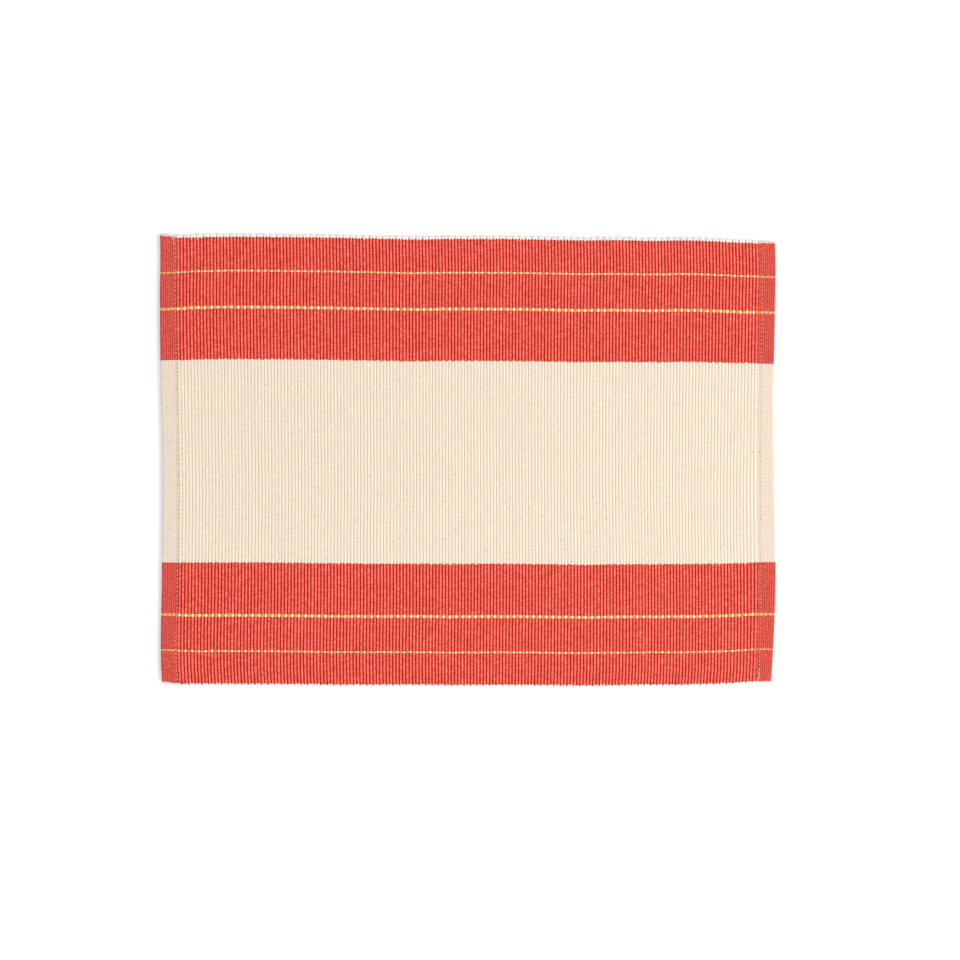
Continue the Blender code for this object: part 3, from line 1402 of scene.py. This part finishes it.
@dataclass
class WeftTurns:
    """The loops in which each bundle of weft turns back at the selvedges."""

    weave: Weave
    strands_in_bundle: int = 4
    strand_radius: float = 0.49 * MM
    bundle_radius: float = 0.54 * MM
    twist: float = 2.0
    half_spread: float = 0.56
    inside: float = 1.5 * MM
    fine_radius: float = 0.24 * MM
    fine_rise: float = 1.3
    fine_root: float = 1.0
    points: int = 12
    slack: dict[Side, float] = field(default_factory=lambda: {Side.BACK: 1.0 * MM, Side.FRONT: 0.7 * MM})

    def make(self, finish: YarnFinish) -> bpy.types.Object:
        """Make the piece.

        Args:
            finish: the weft's finish.

        Returns:
            The object.
        """
        generator = np.random.default_rng(SEED + 2)
        strands = Strands()
        for side, first in ((Side.BACK, 0), (Side.FRONT, 1)):
            for rib in range(first, self.weave.ribs - 1, 2):
                self.turn(strands, side, rib, generator)
            for hem in self.weave.hems:
                self.header_turns(strands, side, hem, generator)
        return strands.piece("weft_turns", finish.material())

    def turn(self, strands: Strands, side: Side, rib: int, generator: np.random.Generator) -> None:
        """Add the turn from one rib to the next.

        Args:
            strands: what it is added to.
            side: BACK or FRONT.
            rib: the first rib's number.
            generator: source of the small differences between turns.
        """
        weave = self.weave
        angle = np.linspace(0.0, math.pi, self.points)
        middle = rib + 1.0 + generator.normal(0.0, 0.04)
        spread = self.half_spread * generator.uniform(0.92, 1.10)
        reach = float(weave.lay.turn_reach(np.array(weave.along(middle)), side))
        reach = (reach + self.slack[side]) * generator.uniform(0.82, 1.05)
        tone = generator.uniform(0.35, 0.75)
        start = generator.uniform(0.0, 2 * math.pi)
        lift = generator.normal(0.0, 0.08) * MM
        tip = reach - self.bundle_radius - self.strand_radius
        for k in range(self.strands_in_bundle):
            turned = start + 2 * math.pi * k / self.strands_in_bundle + self.twist * angle
            aside = np.cos(turned) * self.bundle_radius
            sideways = -(spread + aside / weave.rib_pitch) * np.cos(angle)
            place = np.clip(middle + sideways, 0.02, weave.ribs - 0.02)
            out = np.sin(angle) ** 0.55 * (tip + self.inside + aside) - self.inside
            x, y = weave.lay.place(weave.along(place), np.full(self.points, float(side is Side.BACK)))
            y = y + side.value[1] * out
            z = weave.thickness / 2 + lift + np.sin(turned) * self.bundle_radius
            radius = np.full(self.points, self.strand_radius * generator.uniform(0.9, 1.08))
            path = np.stack([x, y, z], axis=1)
            strands.add(path, radius, radius, tone + generator.uniform(-0.12, 0.12))

    def header_turns(
        self, strands: Strands, side: Side, hem: HemSizes, generator: np.random.Generator
    ) -> None:
        """Add the small turns of a header's fine wefts, on its upper layer.

        Args:
            strands: what they are added to.
            side: BACK or FRONT.
            hem: the hem that the header makes.
            generator: source of the small differences between turns.
        """
        weave = self.weave
        root = weave.lay.half_length - weave.lay.rib_zone[1]
        bend = np.linspace(-1.0, 1.0, 7)
        for number in range(int(root / weave.header_pitch)):
            depth = root - (number + 0.5 + bend * 0.42) * weave.header_pitch
            arc = self.fine_rise * np.sqrt(1.0 - (0.98 * bend) ** 2) - self.fine_root
            out = arc * generator.uniform(0.6, 1.3) * MM
            along = hem.side * (weave.lay.half_length - depth)
            x, y = weave.lay.place(along, np.full(len(bend), float(side is Side.BACK)))
            z = weave.hem_height + 0.04 * MM - np.maximum(out, 0.0) * 0.8
            radius = np.full(len(bend), self.fine_radius)
            path = np.stack([x, y + side.value[1] * out, z], axis=1)
            strands.add(path, radius, radius, generator.uniform(0.3, 0.7))


@dataclass
class Tail:
    """A loose end of thread: its corner, its length, and how it curls beside the seam."""

    end: Side
    side: Side
    length: float
    inset: float
    sway: float
    turns: float


@dataclass
class HemStitching:
    """The lockstitch that holds each hem, with a loose end of thread at two corners."""

    weave: Weave
    length: float = 2.1 * MM
    radius: float = 0.11 * MM
    lean: float = 0.13 * MM
    points: int = 7
    tails: tuple[Tail, ...] = (
        Tail(Side.LEFT, Side.BACK, 4.8 * MM, 0.4 * MM, 0.8 * MM, 0.36),
        Tail(Side.RIGHT, Side.FRONT, 10.0 * MM, -0.9 * MM, 0.5 * MM, 2.2),
    )

    def make(self, finish: YarnFinish) -> bpy.types.Object:
        """Make the piece.

        Args:
            finish: the thread's finish.

        Returns:
            The object.
        """
        generator = np.random.default_rng(SEED + 3)
        strands = Strands()
        weave = self.weave
        width = weave.width_mm * MM
        bend = np.linspace(-1.0, 1.0, self.points)
        for hem in weave.hems:
            for stitch in range(1, int(width / weave.stitch_pitch)):
                share = (stitch * weave.stitch_pitch + bend * self.length / 2) / width
                lean = self.lean * generator.uniform(0.4, 1.4)
                depth = weave.seam_depth(hem.side, (share - 0.5) * width) + lean * bend
                x, y = weave.lay.place(hem.side * (weave.lay.half_length - depth), share)
                radius = np.full(self.points, self.radius * generator.uniform(0.85, 1.15))
                tone = generator.uniform(0.3, 0.7)
                arch = (0.08 - 0.30 * np.abs(bend) ** 3) * MM
                over = np.stack([x, y, weave.hem_height + arch], axis=1)
                strands.add(over, radius, radius, tone)
                under = np.stack([x, y, weave.lift - arch + 0.06 * MM], axis=1)
                strands.add(under, radius, radius, tone)
        for tail in self.tails:
            self.add_tail(strands, tail)
        return strands.piece("hem_stitches", finish.material())

    def add_tail(self, strands: Strands, tail: Tail) -> None:
        """Add a loose end of thread at a corner.

        Args:
            strands: what it is added to.
            tail: the loose end.
        """
        weave = self.weave
        hem = weave.hems[0 if tail.end is Side.LEFT else 1]
        bend = np.linspace(0.0, 1.0, 16)
        gone = (0.3 * MM + tail.length * bend) / (weave.width_mm * MM)
        share = 1.0 - gone if tail.side is Side.BACK else gone
        curl = tail.sway * np.cos(bend * tail.turns * 2 * math.pi)
        corner = tail.side.value[1] * weave.lay.half_width
        depth = weave.seam_depth(hem.side, np.array(corner)) - tail.inset - curl
        x, y = weave.lay.place(hem.side * (weave.lay.half_length - depth), share)
        z = weave.hem_height + (0.12 + 0.25 * np.sin(bend * math.pi)) * MM
        radius = np.linspace(0.24, 0.16, len(bend)) * MM
        strands.add(np.stack([x, y, z], axis=1), radius, radius, 0.9)


# Studio


@dataclass
class Studio:
    """A pale floor, a soft key light from the front right, an even fill and the camera."""

    camera_offset: tuple[float, float] = (9.3 * MM, -14.3 * MM)
    view_width: float = 704.7 * MM
    lens: float = 100.0
    sensor: float = 36.0
    floor_half: float = 6.0
    floor_colour: Colour = (0.90, 0.90, 0.90)
    fill: Colour = (0.96, 0.94, 1.0)
    fill_strength: float = 1.0
    key_from: tuple[float, float, float] = (2.4, -0.73, 1.53)
    key_size: float = 1.0
    key_power: float = 53.0
    key_colour: Colour = (1.0, 0.97, 0.93)

    def make(self) -> None:
        """Build the whole studio."""
        self.floor()
        self.lights()
        self.camera()
        bpy.context.scene.view_settings.view_transform = "Standard"

    def floor(self) -> None:
        """Add the floor."""
        graph = Graph("pale_floor")
        place = graph.value("ShaderNodeTexCoord", output="Object")
        height = graph.noise(place, 40.0, 1.0) * 0.01
        material = graph.finish(self.floor_colour, 0.9, height, 0.0)
        corners = np.array([(-1, -1, 0), (1, -1, 0), (1, 1, 0), (-1, 1, 0)]) * self.floor_half
        floor = make_piece("floor", corners, [(0, 1, 2, 3)], material, {})
        floor.location.z = -0.02 * MM

    def lights(self) -> None:
        """Add the key light and the even fill."""
        world = bpy.data.worlds.new("even_fill")
        world.use_nodes = True
        background = world.node_tree.nodes["Background"]
        background.inputs["Color"].default_value = (*self.fill, 1.0)
        background.inputs["Strength"].default_value = self.fill_strength
        bpy.context.scene.world = world
        light = bpy.data.lights.new("key", "AREA")
        light.shape = "DISK"
        light.size = self.key_size
        light.energy = self.key_power
        light.color = self.key_colour
        key = bpy.data.objects.new("key", light)
        key.location = self.key_from
        key.rotation_mode = "QUATERNION"
        key.rotation_quaternion = Vector(self.key_from).to_track_quat("Z", "Y")
        bpy.context.scene.collection.objects.link(key)

    def camera(self) -> None:
        """Add the camera, straight above a point near the mat's middle."""
        lens = bpy.data.cameras.new("camera")
        lens.lens = self.lens
        lens.sensor_width = self.sensor
        camera = bpy.data.objects.new("camera", lens)
        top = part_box(CAD_NODE)[1].z
        camera.location = (*self.camera_offset, self.view_width * self.lens / self.sensor + top)
        bpy.context.scene.collection.objects.link(camera)
        bpy.context.scene.camera = camera


# The mat


def register(piece: bpy.types.Object) -> None:
    """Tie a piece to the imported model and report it.

    Args:
        piece: the piece.
    """
    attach(piece, BODY)
    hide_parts(CAD_NODE)
    piece.data.validate()
    LOG.info("%s: %d vertices, %d faces", piece.name, len(piece.data.vertices), len(piece.data.polygons))


def main() -> None:
    """Build the mat and the studio."""
    logging.basicConfig(level=logging.INFO, format="%(message)s")
    weave = Weave(Lay(Outline()))
    cloth = Cloth(weave)
    stripes = AccentStripes(weave, cloth.hem_faces())
    finish = ClothFinish(
        name="banded_cotton",
        # Each band's colours run from painted shade in the grooves to a painted highlight on the crests,
        # on the ribs and on the header's fine wefts alike.
        red=BandTones(
            groove=(0.38, 0.005, 0.001),
            crest=(0.94, 0.165, 0.118),
            header_shade=(0.32, 0.017, 0.010),
            header_highlight=(0.65, 0.100, 0.072),
            # The red's pale knots, partly painted highlight.
            fleck=(0.98, 0.36, 0.28),
        ),
        cream=BandTones(
            groove=(0.708, 0.62, 0.46),
            crest=(0.775, 0.692, 0.55),
            header_shade=(0.58, 0.49, 0.375),
            header_highlight=(0.74, 0.645, 0.525),
            fleck=(0.20, 0.12, 0.06),
        ),
        accent_ground=(0.66, 0.30, 0.05),
        nep=(0.84, 0.78, 0.66),
        # Painted shade in the cream's needle holes.
        hole_shade=(0.26, 0.18, 0.12),
        back_band=weave.across_mm(weave.back_band),
        front_band=weave.across_mm(weave.front_band),
        stripes=tuple(
            (weave.across_mm(stripe.share), stripe.yarns * stripe.yarn_width / MM)
            for stripe in stripes.stripes
        ),
        half_width=weave.width_mm / 2,
        rib_pitch=weave.rib_pitch / MM,
        header_pitch=weave.header_pitch / MM,
        stitch_pitch=weave.stitch_pitch / MM,
    )
    sheet = cloth.make(finish)
    register(sheet)
    white = YarnFinish("white_yarn", (0.94, 0.90, 0.72), (0.84, 0.76, 0.52))
    yellow = YarnFinish("yellow_yarn", (0.88, 0.50, 0.12), (0.58, 0.27, 0.02))
    cream = YarnFinish("cream_weft", (0.93, 0.87, 0.78), (0.80, 0.71, 0.61))
    thread = YarnFinish("hem_thread", (0.88, 0.67, 0.52), (0.72, 0.52, 0.39), twist=6.0, relief=0.02)
    on_cloth = []
    for piece, slot in zip(stripes.make(white, yellow), ("white_yarn", "yellow_yarn")):
        register(piece)
        on_cloth.append(piece)
    turns = WeftTurns(weave).make(cream)
    register(turns)
    stitches = HemStitching(weave).make(thread)
    register(stitches)
    on_cloth += [turns, stitches]
    cloth.flat_size()
    Studio().make()


if __name__ == "__main__":
    main()
